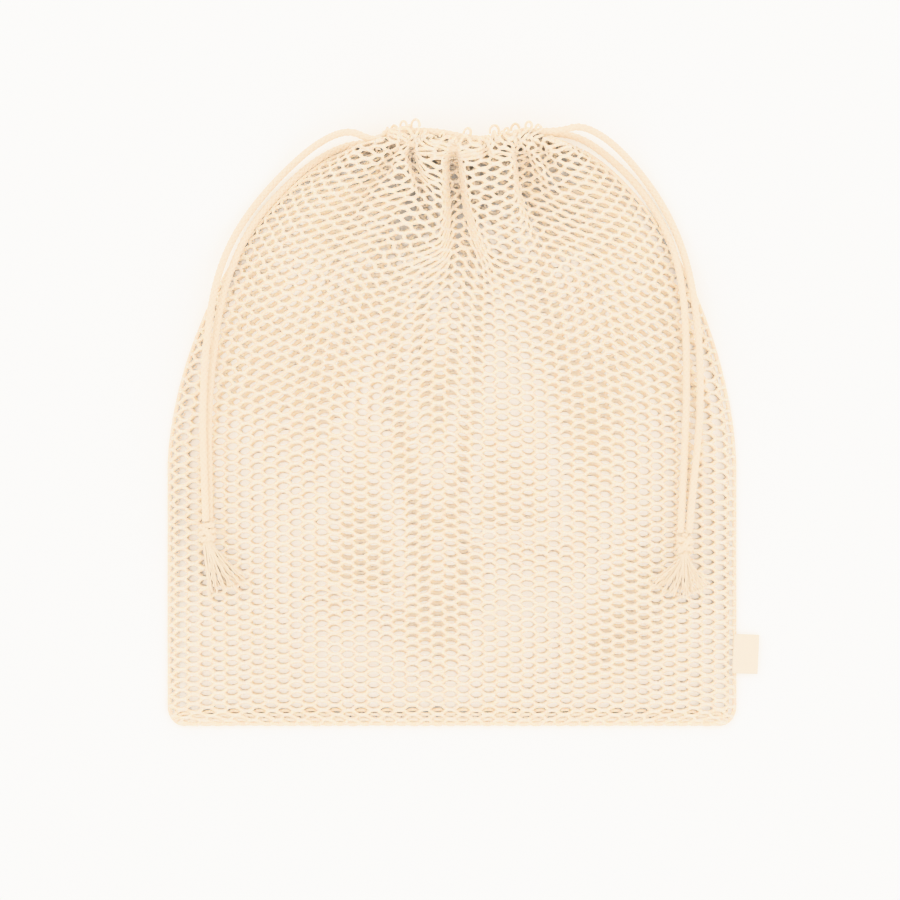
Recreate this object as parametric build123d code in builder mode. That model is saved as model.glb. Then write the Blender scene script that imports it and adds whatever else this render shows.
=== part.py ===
"""Mesh produce bag, lying flat with its mouth drawn in and its two drawstrings laid down its sides.

The bag is two cotton net panels joined by a seam on each side and along the bottom. The top of each
panel is hemmed into a casing. Each drawstring goes in at one end of the mouth, round through both
casings, and comes out where it went in; its two ends are tied in one overhand knot with a frayed end.
Frame: the surface that the bag lies on is Z = 0, the mouth is towards +Y, and the origin is midway
between the straight sides and midway up the bag. Millimetres.
"""

from build123d import *
import math
import os

os.makedirs("parts", exist_ok=True)

# ---- Driving dimensions -------------------------------------------------------------------------
HALF_WIDTH = 141.5  # half the flat width
BOTTOM_Y = -148.5
CORNER_RADIUS = 12.0  # of the two bottom corners
MOUTH_LEFT = -34.0  # the ends of the gathered mouth, which lies a little right of centre
MOUTH_RIGHT = 48.0
SHOULDER_Y = -20.0  # the sides are straight up to here
SHOULDER_TOP_Y = 143.5  # and reach the ends of the mouth here
SHOULDER_POWER = 1.7  # a superellipse between the two, where 2 is an ellipse

NET = 1.6  # thickness of one layer of net
SEAM_WIDTH = 6.0
SEAM = 1.2  # thickness of the overlocked seam allowance between the panels
RIM_Z = NET + SEAM  # where the front panel starts, at its edge
RIM_TOP_Z = RIM_Z + NET

CASING_BOTTOM_Y = 124.0
CASING_TOP_Y = 150.6
CASING_THICK = 8.4
HEM_THICK = 3.4  # the flat, stitched foot of the casing
MOUTH_GAP = 6.6  # between the two casings
CASING_ROUND = 3.6
FRONT_CASING_Z = CASING_THICK + MOUTH_GAP
SLIT_Y = 132.0  # the side seams stop here and leave a slit for the cords
SLIT_REACH = 26.0  # how far a slit opens beyond the end of the mouth

CORD = 3.8  # diameter of the drawstrings
LANE_LEFT_Y = 142.0  # where the left drawstring lies in both casings
LANE_RIGHT_Y = 146.6  # and the right one
BACK_LANE_Z = CASING_THICK / 2
FRONT_LANE_Z = FRONT_CASING_Z + CASING_THICK / 2
TUNNEL_HEIGHT = 5.0
TUNNEL_WIDTH = 9.4
TURN_RADIUS = (FRONT_LANE_Z - BACK_LANE_Z) / 2  # where a cord passes from one casing to the other
LOOP_STRAIGHT = 10.5  # from the turn back to where the sliding run starts
JOIN_GAP = 0.3
TURN_X = TURN_RADIUS + CORD / 2 + 0.2  # from the end of the mouth in to the centre of the turn

LABEL_WIDTH = 19.5
LABEL_REACH = 11.6
LABEL_PLY = 0.6
LABEL_Y = -113.2
LABEL_GAP = 1.3  # free play between the label and the edge of the bag, so that it can turn up


def side_x(y, side):
    """Where the bag's edge is at height y, on the left (side -1) or the right (side 1)."""
    if y < BOTTOM_Y + CORNER_RADIUS:
        drop = BOTTOM_Y + CORNER_RADIUS - y
        return side * (HALF_WIDTH - CORNER_RADIUS + math.sqrt(max(0.0, CORNER_RADIUS**2 - drop**2)))
    mouth = MOUTH_RIGHT if side > 0 else -MOUTH_LEFT
    up = min(1.0, max(0.0, (y - SHOULDER_Y) / (SHOULDER_TOP_Y - SHOULDER_Y)))
    out = (1.0 - up**SHOULDER_POWER) ** (1.0 / SHOULDER_POWER)
    return side * (mouth + (HALF_WIDTH - mouth) * out)


# ---- Panels ---------------------------------------------------------------------------------------
# Height of the front panel's top surface along its middle, from the bottom seam up to the mouth.
CROWN = [
    (BOTTOM_Y, 4.9),
    (-143.0, 6.6),
    (-128.0, 8.8),
    (-75.0, 9.6),
    (SHOULDER_Y, 10.0),
    (25.0, 10.8),
    (60.0, 12.2),
    (90.0, 15.2),
    (110.0, 19.0),
    (CASING_BOTTOM_Y, 22.6),
    (137.0, 22.9),
]
RISE_REACH = 14.0  # the net rises steeply this far in from its edge
CREST_REACH = 30.0  # and gently this far in
CREST_DROP = 1.5
RIM_STEP = 0.2  # the least rise from the rim to the crest


def front_section(y, top):
    """The front panel cut across at y, as a thin arched strip of even thickness."""
    left, right = side_x(y, -1), side_x(y, 1)
    shrink = min(1.0, (right - left) / (2.6 * CREST_REACH))
    rise, crest = RISE_REACH * shrink, CREST_REACH * shrink
    shoulder = max(RIM_TOP_Z + RIM_STEP, top - CREST_DROP)
    half = [(0.0, RIM_Z), (2.0, RIM_TOP_Z), (rise, shoulder), (crest, max(top, shoulder))]
    inner = [(2.0 + NET, RIM_Z), (rise + NET, shoulder - NET), (crest + NET, max(top, shoulder) - NET)]
    outline = [(left + e, z) for e, z in half] + [(right - e, z) for e, z in reversed(half)]
    outline += [(right - e, z) for e, z in inner] + [(left + e, z) for e, z in reversed(inner)]
    with BuildSketch(Plane.XZ.offset(-y)) as section:
        with BuildLine():
            Polyline(*outline, close=True)
        make_face()
    return section.sketch


with BuildPart() as front_panel:
    for y, top in CROWN:
        add(front_section(y, top))
    loft(ruled=True)
    with Locations(((MOUTH_LEFT + MOUTH_RIGHT) / 2, CASING_BOTTOM_Y, 0)):
        Box(
            MOUTH_RIGHT - MOUTH_LEFT,
            40,
            60,
            align=(Align.CENTER, Align.MIN, Align.CENTER),
            mode=Mode.SUBTRACT,
        )
    with Locations(((MOUTH_LEFT + MOUTH_RIGHT) / 2, SLIT_Y, 0)):
        Box(
            MOUTH_RIGHT - MOUTH_LEFT + 2 * SLIT_REACH,
            40,
            60,
            align=(Align.CENTER, Align.MIN, Align.CENTER),
            mode=Mode.SUBTRACT,
        )
front_panel.part.label = "front_panel"

OUTLINE_STEPS = [SHOULDER_Y, 20.0, 55.0, 85.0, 108.0, 124.0, SLIT_Y]

with BuildPart() as back_panel:
    with BuildSketch():
        with BuildLine():
            right_side = Spline(*[(side_x(y, 1), y) for y in OUTLINE_STEPS], tangents=[(0, 1), (-1.5, 1)])
            left_side = Spline(*[(side_x(y, -1), y) for y in OUTLINE_STEPS], tangents=[(0, 1), (1.5, 1)])
            Line(right_side @ 1, left_side @ 1)
            FilletPolyline(
                left_side @ 0,
                (-HALF_WIDTH, BOTTOM_Y),
                (HALF_WIDTH, BOTTOM_Y),
                right_side @ 0,
                radius=CORNER_RADIUS,
            )
        make_face()
    extrude(amount=NET)
    with Locations(((MOUTH_LEFT + MOUTH_RIGHT) / 2, CASING_BOTTOM_Y, 0)):
        Box(
            MOUTH_RIGHT - MOUTH_LEFT,
            40,
            60,
            align=(Align.CENTER, Align.MIN, Align.CENTER),
            mode=Mode.SUBTRACT,
        )
back_panel.part.label = "back_panel"

# ---- Seams: the overlocked allowance between the panels ------------------------------------------
SEAM_SPLIT_Y = BOTTOM_Y + CORNER_RADIUS
SIDE_STEPS = [SHOULDER_Y, 20.0, 55.0, 85.0, 108.0, CASING_BOTTOM_Y]


def side_seam(name, side):
    """The allowance along one side, from above the bottom corner to the foot of the casing."""
    with BuildPart() as made:
        with BuildSketch(Plane.XY.offset(NET)):
            with BuildLine():
                edge = Spline(*[(side_x(y, side), y) for y in SIDE_STEPS])
                inner = Spline(*[(side_x(y, side) - side * SEAM_WIDTH, y) for y in SIDE_STEPS])
                Line(edge @ 1, inner @ 1)
                Polyline(
                    edge @ 0,
                    (side * HALF_WIDTH, SEAM_SPLIT_Y),
                    (side * (HALF_WIDTH - SEAM_WIDTH), SEAM_SPLIT_Y),
                    inner @ 0,
                )
            make_face()
        extrude(amount=SEAM)
    made.part.label = name
    return made


side_seams = [side_seam("left_side_seam", -1), side_seam("right_side_seam", 1)]

with BuildPart() as bottom_seam:
    with BuildSketch(Plane.XY.offset(NET)):
        with Locations((0, BOTTOM_Y + CORNER_RADIUS)):
            RectangleRounded(2 * HALF_WIDTH, 2 * CORNER_RADIUS, CORNER_RADIUS * 0.999)
            RectangleRounded(
                2 * (HALF_WIDTH - SEAM_WIDTH),
                2 * (CORNER_RADIUS - SEAM_WIDTH),
                (CORNER_RADIUS - SEAM_WIDTH) * 0.999,
                mode=Mode.SUBTRACT,
            )
        with Locations((0, SEAM_SPLIT_Y)):
            Rectangle(
                2 * HALF_WIDTH + 2,
                2 * CORNER_RADIUS,
                align=(Align.CENTER, Align.MIN),
                mode=Mode.SUBTRACT,
            )
    extrude(amount=SEAM)
bottom_seam.part.label = "bottom_seam"


# ---- Casings --------------------------------------------------------------------------------------
def casing(low_z, hem_low_z, inner_side):
    """A hem folded into a tunnel across the mouth. inner_side is 1 where the inside of the bag is above."""
    tunnel_y = (LANE_LEFT_Y + LANE_RIGHT_Y) / 2
    lane_z = low_z + CASING_THICK / 2
    tube_bottom_y = tunnel_y - (CASING_TOP_Y - tunnel_y) - 1.0
    with BuildPart() as made:
        with BuildSketch(Plane.YZ.offset(MOUTH_LEFT)):
            with Locations(((tube_bottom_y + CASING_TOP_Y) / 2, lane_z)):
                RectangleRounded(CASING_TOP_Y - tube_bottom_y, CASING_THICK, CASING_ROUND)
            with Locations(((CASING_BOTTOM_Y + tunnel_y) / 2, hem_low_z + HEM_THICK / 2)):
                Rectangle(tunnel_y - CASING_BOTTOM_Y, HEM_THICK)
            with Locations((tunnel_y, lane_z)):
                SlotOverall(TUNNEL_WIDTH, TUNNEL_HEIGHT, mode=Mode.SUBTRACT)
        extrude(amount=MOUTH_RIGHT - MOUTH_LEFT)
        # At each end, the tunnel is open on the inside where the other end's cord turns back.
        turn = TURN_X + CORD / 2 + 0.4
        for x, lane_y, grow in (
            (MOUTH_RIGHT, LANE_LEFT_Y, Align.MAX),
            (MOUTH_LEFT, LANE_RIGHT_Y, Align.MIN),
        ):
            with Locations((x, lane_y, lane_z)):
                Box(
                    turn,
                    CORD + 0.7,
                    CASING_THICK,
                    align=(grow, Align.CENTER, Align.MIN if inner_side > 0 else Align.MAX),
                    mode=Mode.SUBTRACT,
                )
    return made


front_casing = casing(FRONT_CASING_Z, FRONT_CASING_Z + CASING_THICK - HEM_THICK, -1)
front_casing.part.label = "front_casing"
back_casing = casing(0.0, 0.0, 1)
back_casing.part.label = "back_casing"

STITCH_LENGTH = 2.7
STITCH_PITCH = 4.0
STITCH_WIDE = 0.7
STITCH_HIGH = 0.5
STITCH_Y = CASING_BOTTOM_Y + 2.0
STITCH_COUNT = 20


def stitch_row(z):
    """A row of straight stitches across a casing's foot, lying on it at height z."""
    with BuildPart() as row:
        with BuildSketch(Plane.XY.offset(z)):
            with Locations(((MOUTH_LEFT + MOUTH_RIGHT) / 2, STITCH_Y)):
                with GridLocations(STITCH_PITCH, 1, STITCH_COUNT, 1):
                    SlotOverall(STITCH_LENGTH, STITCH_WIDE)
        extrude(amount=STITCH_HIGH)
    return row


front_stitches = stitch_row(FRONT_CASING_Z + CASING_THICK)
front_stitches.part.label = "front_casing_stitches"
back_stitches = stitch_row(HEM_THICK)
back_stitches.part.label = "back_casing_stitches"


# ---- Drawstrings ----------------------------------------------------------------------------------
def rounded(points):
    """The radius for each corner of a route, 0.45 of its shorter run over the tangent of half the turn."""
    places = [Vector(*p) for p in points]
    radii = []
    for a, b, c in zip(places, places[1:], places[2:]):
        half_turn = math.radians((b - a).get_angle(c - b)) / 2
        radii.append(0.45 * min((b - a).length, (c - b).length) / math.tan(half_turn))
    return radii


def tube(name, points):
    """A cord swept along straight runs joined by tangent arcs."""
    radii = rounded(points)
    with BuildPart() as made:
        with BuildLine() as route:
            FilletPolyline(*points, radius=radii)
        with BuildSketch(Plane(origin=route.line @ 0, z_dir=route.line % 0)):
            Circle(CORD / 2)
        sweep()
    made.part.label = name
    length = route.wire().length
    share = made.part.volume / (math.pi * CORD**2 / 4 * length)
    print(name, "length", round(length, 1), "volume share", round(share, 4))
    print("   radii", [round(r, 1) for r in radii])
    return made


def turn_back(name, mouth_x, lane_y, side):
    """The stretch that stays in the casings: along the front one, round the mouth's end, back along the other."""
    turn_x = mouth_x - side * TURN_X
    start_x = turn_x - side * LOOP_STRAIGHT
    with BuildPart() as made:
        with BuildLine() as route:
            out = Line((start_x, lane_y, FRONT_LANE_Z), (turn_x, lane_y, FRONT_LANE_Z))
            bend = ThreePointArc(
                out @ 1,
                (turn_x + side * TURN_RADIUS, lane_y, (FRONT_LANE_Z + BACK_LANE_Z) / 2),
                (turn_x, lane_y, BACK_LANE_Z),
            )
            Line(bend @ 1, (start_x, lane_y, BACK_LANE_Z))
        with BuildSketch(Plane(origin=route.line @ 0, z_dir=route.line % 0)):
            Circle(CORD / 2)
        sweep()
    made.part.label = name
    return made, start_x


left_turn, left_start = turn_back("left_cord_turn", MOUTH_RIGHT, LANE_LEFT_Y, 1)
right_turn, right_start = turn_back("right_cord_turn", MOUTH_LEFT, LANE_RIGHT_Y, -1)



def channel_run(name, start_x, end_x, lane_y, lane_z):
    """The straight stretch that slides inside a casing."""
    with BuildPart() as made:
        with BuildSketch(Plane.YZ.offset(min(start_x, end_x))):
            with Locations((lane_y, lane_z)):
                Circle(CORD / 2)
        extrude(amount=abs(end_x - start_x))
    made.part.label = name
    return made


EXIT_DEPTH = 1.0  # the free runs start this far inside the mouth's ends
LEFT_EXIT_X = MOUTH_LEFT + EXIT_DEPTH
RIGHT_EXIT_X = MOUTH_RIGHT - EXIT_DEPTH
left_from = left_start - JOIN_GAP
right_from = right_start + JOIN_GAP
channel_runs = [
    channel_run("left_cord_front_channel", left_from, LEFT_EXIT_X, LANE_LEFT_Y, FRONT_LANE_Z),
    channel_run("left_cord_back_channel", left_from, LEFT_EXIT_X, LANE_LEFT_Y, BACK_LANE_Z),
    channel_run("right_cord_front_channel", right_from, RIGHT_EXIT_X, LANE_RIGHT_Y, FRONT_LANE_Z),
    channel_run("right_cord_back_channel", right_from, RIGHT_EXIT_X, LANE_RIGHT_Y, BACK_LANE_Z),
]

LEFT_KNOT = (-121.5, -47.0, 14.2)  # the middle of each knot's upper end
RIGHT_KNOT = (115.7, -53.0, 14.4)
KNOT_LENGTH = 11.0
KNOT_WAIST = 3.7
KNOT_RADIUS = 5.2
KNOT_FLAT = 0.86  # a knot is pressed a little flat
TASSEL_THICK = 3.4

# Each free run leaves its casing, drops to the surface beside the bag, climbs over the bag's edge and
# lies on the front panel down to its knot.
LEFT_FRONT_ROUTE = [
    (LEFT_EXIT_X, LANE_LEFT_Y, FRONT_LANE_Z),
    (-40.0, LANE_LEFT_Y, FRONT_LANE_Z),
    (-51.5, 147.8, 17.2),
    (-67.0, 141.5, 10.4),
    (-83.5, 127.5, 4.4),
    (-98.8, 110.6, 3.2),
    (-110.4, 92.5, 6.2),
    (-118.0, 71.0, 13.2),
    (-121.6, 46.0, 15.4),
    (-123.6, 20.0, 15.9),
    (-123.8, -5.0, 15.7),
    (-123.0, -27.0, 15.8),
    (-122.3, -46.8, 16.0),
]
LEFT_BACK_ROUTE = [
    (LEFT_EXIT_X, LANE_LEFT_Y, BACK_LANE_Z),
    (-43.0, LANE_LEFT_Y, BACK_LANE_Z),
    (-55.5, 139.8, 3.2),
    (-69.5, 132.2, 2.4),
    (-84.5, 118.8, 2.3),
    (-98.8, 102.6, 2.6),
    (-108.4, 84.0, 7.0),
    (-115.2, 63.0, 9.3),
    (-118.6, 39.0, 11.1),
    (-120.8, 15.0, 11.6),
    (-121.2, -8.0, 11.5),
    (-120.9, -28.0, 11.6),
    (-120.7, -46.8, 12.0),
]
RIGHT_FRONT_ROUTE = [
    (RIGHT_EXIT_X, LANE_RIGHT_Y, FRONT_LANE_Z),
    (54.0, LANE_RIGHT_Y, FRONT_LANE_Z),
    (64.0, 150.0, 17.4),
    (78.8, 142.6, 10.6),
    (93.5, 127.6, 4.6),
    (106.5, 109.0, 3.0),
    (115.6, 88.0, 5.2),
    (120.4, 66.0, 10.4),
    (123.0, 42.0, 12.0),
    (123.7, 18.0, 12.2),
    (122.6, -6.0, 12.0),
    (119.8, -30.0, 12.2),
    (117.7, -52.8, 14.0),
]
RIGHT_BACK_ROUTE = [
    (RIGHT_EXIT_X, LANE_RIGHT_Y, BACK_LANE_Z),
    (56.0, LANE_RIGHT_Y, BACK_LANE_Z),
    (67.5, 142.8, 3.0),
    (80.5, 133.0, 2.4),
    (93.5, 120.0, 2.3),
    (103.8, 104.4, 2.8),
    (111.6, 86.0, 6.9),
    (115.6, 64.0, 11.2),
    (116.6, 40.0, 12.2),
    (116.7, 16.0, 12.4),
    (115.9, -8.0, 12.0),
    (114.8, -31.0, 12.0),
    (113.7, -52.8, 14.2),
]
free_runs = [
    tube("left_cord_front_run", LEFT_FRONT_ROUTE),
    tube("left_cord_back_run", LEFT_BACK_ROUTE),
    tube("right_cord_front_run", RIGHT_FRONT_ROUTE),
    tube("right_cord_back_run", RIGHT_BACK_ROUTE),
]


def knot(name, top):
    """A tightened overhand knot of two cords: a barrel with two wraps, pressed a little flat."""
    with BuildPart() as barrel:
        with BuildSketch(Plane.XY):
            with BuildLine():
                Line((0, 0), (KNOT_WAIST, 0))
                Spline(
                    (KNOT_WAIST, 0),
                    (KNOT_RADIUS, -0.28 * KNOT_LENGTH),
                    (0.86 * KNOT_RADIUS, -0.5 * KNOT_LENGTH),
                    (KNOT_RADIUS, -0.72 * KNOT_LENGTH),
                    (KNOT_WAIST, -KNOT_LENGTH),
                )
                Polyline((KNOT_WAIST, -KNOT_LENGTH), (0, -KNOT_LENGTH), (0, 0))
            make_face()
        revolve(axis=Axis.Y)
        scale(by=(1, 1, KNOT_FLAT))
    with BuildPart() as made:
        with Locations(top):
            add(barrel.part)
    made.part.label = name
    return made


def tassel(name, top, length, end_x, end_width):
    """The frayed end below a knot, fanned out flat on the bag."""
    top_x, top_y, top_z = top
    with BuildPart() as made:
        for share, width, thick, drop in (
            (0.0, 6.0, 4.6, 0.6),
            (0.45, 0.5 * end_width + 2.5, 4.2, 1.4),
            (1.0, end_width, TASSEL_THICK, 2.2),
        ):
            y = top_y - KNOT_LENGTH - length * share
            with BuildSketch(Plane.XZ.offset(-y)):
                with Locations((top_x + (end_x - top_x) * share, top_z - drop)):
                    SlotOverall(width, thick)
        loft()
    made.part.label = name
    return made


knots = [knot("left_knot", LEFT_KNOT), knot("right_knot", RIGHT_KNOT)]
tassels = [
    tassel("left_tassel", LEFT_KNOT, 28.0, -112.5, 20.0),
    tassel("right_tassel", RIGHT_KNOT, 22.0, 114.0, 27.0),
]

# ---- Side label: a tape folded in two and sewn into the right seam ---------------------------------
LABEL_X = HALF_WIDTH + LABEL_GAP
LABEL_Z = NET + SEAM / 2
with BuildPart() as side_label:
    with BuildSketch(Plane.XZ.offset(-(LABEL_Y + LABEL_WIDTH / 2))):
        with BuildLine():
            FilletPolyline(
                (LABEL_X, LABEL_Z + LABEL_PLY * 0.6),
                (LABEL_X + LABEL_REACH, LABEL_Z + LABEL_PLY * 0.6),
                (LABEL_X + LABEL_REACH, LABEL_Z - LABEL_PLY * 0.6),
                (LABEL_X, LABEL_Z - LABEL_PLY * 0.6),
                radius=LABEL_PLY * 0.55,
            )
            offset(amount=LABEL_PLY / 2, side=Side.BOTH)
        make_face()
    extrude(amount=LABEL_WIDTH)
side_label.part.label = "side_label"

# ---- One STEP for each piece -----------------------------------------------------------------------
made_parts = [
    front_panel,
    back_panel,
    *side_seams,
    bottom_seam,
    front_casing,
    back_casing,
    front_stitches,
    back_stitches,
    left_turn,
    right_turn,
    *channel_runs,
    *free_runs,
    *knots,
    *tassels,
    side_label,
]
for made in made_parts:
    export_step(made.part, f"parts/{made.part.label}.step")
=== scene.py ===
"""Mesh produce bag: net, casings, seams, cords, tassels and label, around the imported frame. In metres."""

import math

import bpy
import numpy as np
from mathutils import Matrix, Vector


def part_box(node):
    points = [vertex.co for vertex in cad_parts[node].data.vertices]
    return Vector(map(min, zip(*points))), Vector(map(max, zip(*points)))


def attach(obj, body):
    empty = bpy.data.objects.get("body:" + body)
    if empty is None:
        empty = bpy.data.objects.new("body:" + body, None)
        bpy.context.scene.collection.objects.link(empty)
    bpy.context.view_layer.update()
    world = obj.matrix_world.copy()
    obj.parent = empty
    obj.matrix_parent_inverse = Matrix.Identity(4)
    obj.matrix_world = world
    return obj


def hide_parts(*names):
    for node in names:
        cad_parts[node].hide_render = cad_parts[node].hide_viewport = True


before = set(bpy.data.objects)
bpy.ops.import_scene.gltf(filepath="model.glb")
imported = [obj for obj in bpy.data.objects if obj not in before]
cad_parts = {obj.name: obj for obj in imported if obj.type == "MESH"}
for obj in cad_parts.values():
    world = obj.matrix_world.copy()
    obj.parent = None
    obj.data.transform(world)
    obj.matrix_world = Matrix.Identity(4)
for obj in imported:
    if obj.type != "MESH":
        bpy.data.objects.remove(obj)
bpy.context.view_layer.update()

MM = 0.001

# ---- Sizes, which follow the CAD model ------------------------------------------------------------
BAG_LOW, BAG_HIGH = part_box("back_panel")
CASING_LOW, CASING_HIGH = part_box("front_casing")
HALF_WIDTH = BAG_HIGH[0]
BOTTOM_Y = BAG_LOW[1]
MOUTH_LEFT, MOUTH_RIGHT = CASING_LOW[0], CASING_HIGH[0]
SHOULDER_Y = -20 * MM
SHOULDER_TOP_Y = 143.5 * MM
SHOULDER_POWER = 1.7  # 2 would be an ellipse
CORNER = 9 * MM  # the rounding of the bottom corners
CORNER_DEPTH = 0.8  # of what a round corner cuts off
CLOTH_WIDTH = 2 * HALF_WIDTH
CLOTH_LENGTH = 309 * MM  # from the bottom seam to the folded edge of the casing
CASING_DEPTH = 12 * MM
CASING_Y = 0.124  # the casing starts here
CASING_RISE = 0.019  # and its ends are this much further up

WALE_PITCH = 2.62 * MM  # rows of chain stitch run across the bag, this far apart
WAVE_LENGTH = 12.8 * MM  # neighbouring rows meet twice in this length
WAVE_HEIGHT = 1.22 * MM
STRAND_WIDE = 1.84 * MM
STRAND_THICK = 1.15 * MM
WAVE_FLATNESS = 1.6  # more makes squarer waves
CORD = 3.8 * MM


# ---- Small helpers --------------------------------------------------------------------------------
def smooth(x):
    """0 below 0, 1 above 1, and a smooth step between."""
    x = np.clip(x, 0.0, 1.0)
    return x * x * (3 - 2 * x)


def make_mesh(name, points, faces, uvs=None):
    """A smooth-shaded mesh object from arrays of points and of faces with equal corner counts."""
    mesh = bpy.data.meshes.new(name)
    faces = np.asarray(faces, np.int32)
    corners = faces.shape[1]
    mesh.vertices.add(len(points))
    mesh.vertices.foreach_set("co", np.asarray(points, np.float32).ravel())
    mesh.loops.add(faces.size)
    mesh.loops.foreach_set("vertex_index", faces.ravel())
    mesh.polygons.add(len(faces))
    mesh.polygons.foreach_set("loop_start", np.arange(0, faces.size, corners, dtype=np.int32))
    mesh.polygons.foreach_set("loop_total", np.full(len(faces), corners, np.int32))
    mesh.polygons.foreach_set("use_smooth", np.ones(len(faces), bool))
    if uvs is not None:
        layer = mesh.uv_layers.new(name="UVMap")
        layer.data.foreach_set("uv", np.asarray(uvs, np.float32)[faces.ravel()].ravel())
    mesh.update()
    mesh.validate()
    made = bpy.data.objects.new(name, mesh)
    bpy.context.scene.collection.objects.link(made)
    return made


class Tubes:
    """Collects tubes of elliptical section into one mesh. UV u is metres along a tube, v goes round it."""

    def __init__(self):
        self.points, self.faces, self.uvs, self.count = [], [], [], 0

    def add(self, centre, across, up, wide, thick, sides=6):
        """centre, across and up are (tubes, steps, 3). wide and thick are numbers or (tubes, steps)."""
        tubes, steps = centre.shape[:2]
        turn = np.arange(sides) / sides * 2 * math.pi
        wide = np.broadcast_to(wide, (tubes, steps))[..., None, None] / 2
        thick = np.broadcast_to(thick, (tubes, steps))[..., None, None] / 2
        ring = centre[:, :, None] + across[:, :, None] * wide * np.cos(turn)[:, None]
        ring = ring + up[:, :, None] * thick * np.sin(turn)[:, None]
        along = np.zeros((tubes, steps))
        along[:, 1:] = np.cumsum(np.linalg.norm(np.diff(centre, axis=1), axis=2), axis=1)
        uv = np.stack(
            [np.broadcast_to(along[:, :, None], (tubes, steps, sides)),
             np.broadcast_to(turn / (2 * math.pi), (tubes, steps, sides))], -1)
        index = self.count + np.arange(tubes * steps * sides).reshape(tubes, steps, sides)
        round_next = np.roll(index, -1, axis=2)
        quads = np.stack([index[:, :-1], round_next[:, :-1], round_next[:, 1:], index[:, 1:]], -1)
        caps = []
        for k in range(1, sides // 2):
            for end, flip in ((index[:, 0], True), (index[:, -1], False)):
                cap = np.stack([end[:, k - 1], end[:, k], end[:, sides - 1 - k], end[:, sides - k]], -1)
                caps.append(cap[:, ::-1] if flip else cap)
        self.points.append(ring.reshape(-1, 3))
        self.uvs.append(uv.reshape(-1, 2))
        self.faces.append(quads.reshape(-1, 4))
        self.faces.extend(caps)
        self.count += tubes * steps * sides

    def build(self, name):
        return make_mesh(
            name, np.concatenate(self.points), np.concatenate(self.faces), np.concatenate(self.uvs))


def unit(vectors):
    return vectors / (np.linalg.norm(vectors, axis=-1, keepdims=True) + 1e-12)


def carried(path, up_hint=(0, 0, 1)):
    """Tangent, side and up along a path of points, turning as little as possible."""
    tangent = unit(np.gradient(path, axis=0))
    side = np.cross(up_hint, tangent[0])
    if np.linalg.norm(side) < 1e-3:
        side = np.cross((1, 0, 0), tangent[0])
    sides = [side / np.linalg.norm(side)]
    for t in tangent[1:]:
        s = sides[-1] - t * np.dot(sides[-1], t)
        sides.append(s / np.linalg.norm(s))
    sides = np.array(sides)
    return tangent, sides, np.cross(tangent, sides)


def resampled(path, step):
    """The same path with evenly spaced points."""
    along = np.concatenate([[0], np.cumsum(np.linalg.norm(np.diff(path, axis=0), axis=1))])
    count = max(4, int(round(along[-1] / step)) + 1)
    places = np.linspace(0, along[-1], count)
    return np.stack([np.interp(places, along, path[:, k]) for k in range(3)], 1)


# ---- Materials ------------------------------------------------------------------------------------
SPECULAR = 0.18
SHEEN_ROUGHNESS = 0.5
THROUGH_RADIUS = (1.0, 0.8, 0.6)
THROUGH_SCALE = 1.6 * MM
BUMP_STRENGTH = 0.6
BUMP_DEPTH = 0.3 * MM
CHAIN_RATE = 760  # legs of the chain stitch per metre
YARN_RATE = 1100  # twists of yarn per metre
WEAVE_RATE = 2600  # threads of the tape per metre


def shade(name, light, dark, roughness, sheen, bumps, patch=900.0, soft=0.0):
    """Cotton: two tones mixed by noise of scale patch, with sheen and bumps. bumps(nodes, links) gives the
    bump's height. soft is how much of the light goes through."""
    made = bpy.data.materials.new(name)
    made.use_nodes = True
    nodes, links = made.node_tree.nodes, made.node_tree.links
    surface = nodes["Principled BSDF"]
    surface.inputs["Roughness"].default_value = roughness
    surface.inputs["Sheen Weight"].default_value = sheen
    surface.inputs["Sheen Roughness"].default_value = SHEEN_ROUGHNESS
    surface.inputs["Specular IOR Level"].default_value = SPECULAR
    surface.inputs["Subsurface Weight"].default_value = soft
    surface.inputs["Subsurface Radius"].default_value = THROUGH_RADIUS
    surface.inputs["Subsurface Scale"].default_value = THROUGH_SCALE
    where = nodes.new("ShaderNodeTexCoord")
    noise = nodes.new("ShaderNodeTexNoise")
    noise.inputs["Scale"].default_value = patch
    noise.inputs["Detail"].default_value = 3.0
    links.new(where.outputs["Object"], noise.inputs["Vector"])
    tone = nodes.new("ShaderNodeValToRGB")
    tone.color_ramp.elements[0].position = 0.3
    tone.color_ramp.elements[0].color = (*dark, 1)
    tone.color_ramp.elements[1].position = 0.7
    tone.color_ramp.elements[1].color = (*light, 1)
    links.new(noise.outputs["Fac"], tone.inputs["Fac"])
    links.new(tone.outputs["Color"], surface.inputs["Base Color"])
    height = bumps(nodes, links)
    bump = nodes.new("ShaderNodeBump")
    bump.inputs["Strength"].default_value = BUMP_STRENGTH
    bump.inputs["Distance"].default_value = BUMP_DEPTH
    links.new(height, bump.inputs["Height"])
    links.new(bump.outputs["Normal"], surface.inputs["Normal"])
    return made


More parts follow.
